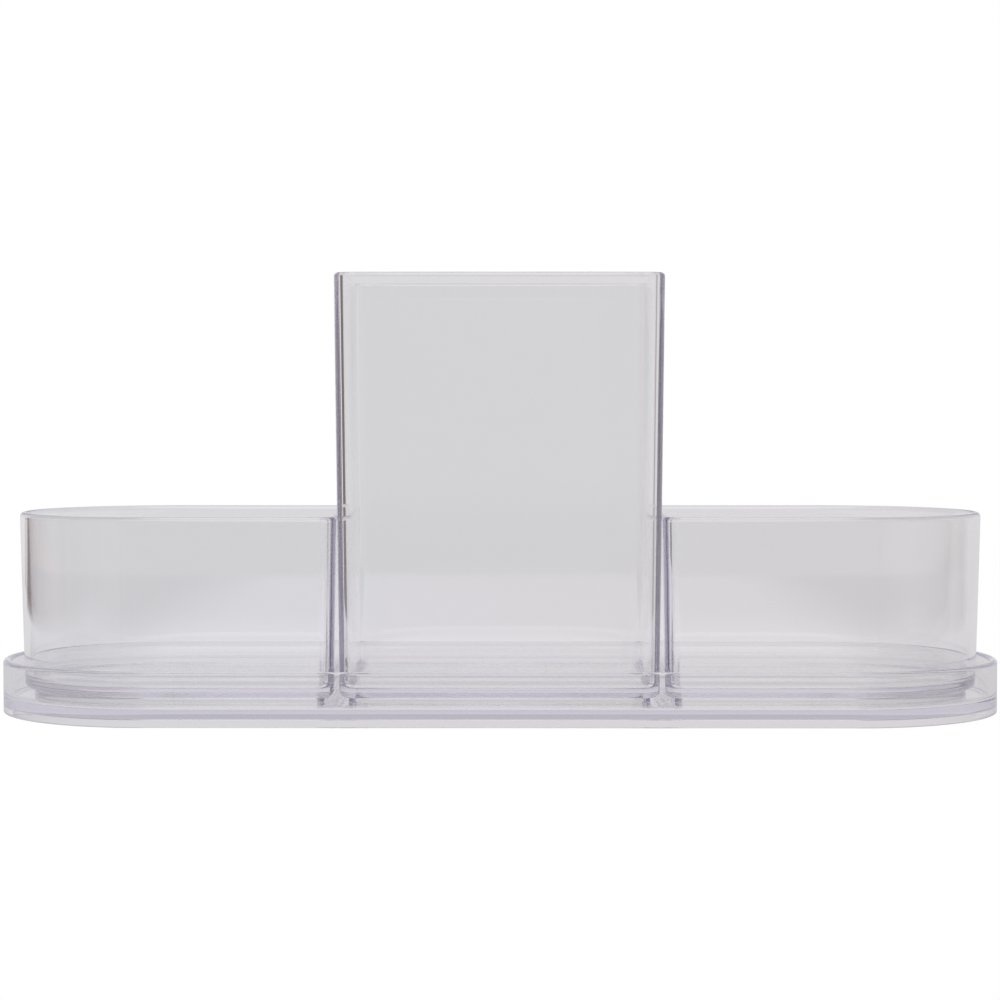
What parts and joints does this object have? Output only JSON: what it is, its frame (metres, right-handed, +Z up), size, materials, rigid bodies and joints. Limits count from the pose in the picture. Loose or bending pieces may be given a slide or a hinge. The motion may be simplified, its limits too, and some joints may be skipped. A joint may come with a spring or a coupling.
{
  "type": "pen holder cup organiser",
  "caption": "Clear plastic desk organiser: a tall rectangular pen cup between low D-shaped cups, loose in a round-ended tray with a low rim.",
  "frame": {"origin": "on the surface it stands on, under the middle of the tray", "axes": "+X along the tray towards the right cup, +Y towards the back, +Z up"},
  "size_m": [0.241, 0.0776, 0.1047],
  "materials": {
    "clear_plastic": "crystal clear moulded styrene, polished, with a faint lavender cast at its edges"
  },
  "bodies": {
    "tray": {"tray": "clear_plastic"},
    "tall_cup": {"tall_cup": "clear_plastic"},
    "left_cup": {"left_cup": "clear_plastic"},
    "right_cup": {"right_cup": "clear_plastic"}
  },
  "joints": [
    {"name": "tall_cup_lift", "type": "slide", "parent": "tray", "child": "tall_cup", "axis": [0, 0, 1], "range_m": [0, 0.12]},
    {"name": "left_cup_lift", "type": "slide", "parent": "tray", "child": "left_cup", "axis": [-0.0349, 0, 0.9994], "range_m": [0, 0.12]},
    {"name": "right_cup_lift", "type": "slide", "parent": "tray", "child": "right_cup", "axis": [0.0349, 0, 0.9994], "range_m": [0, 0.12]}
  ]
}
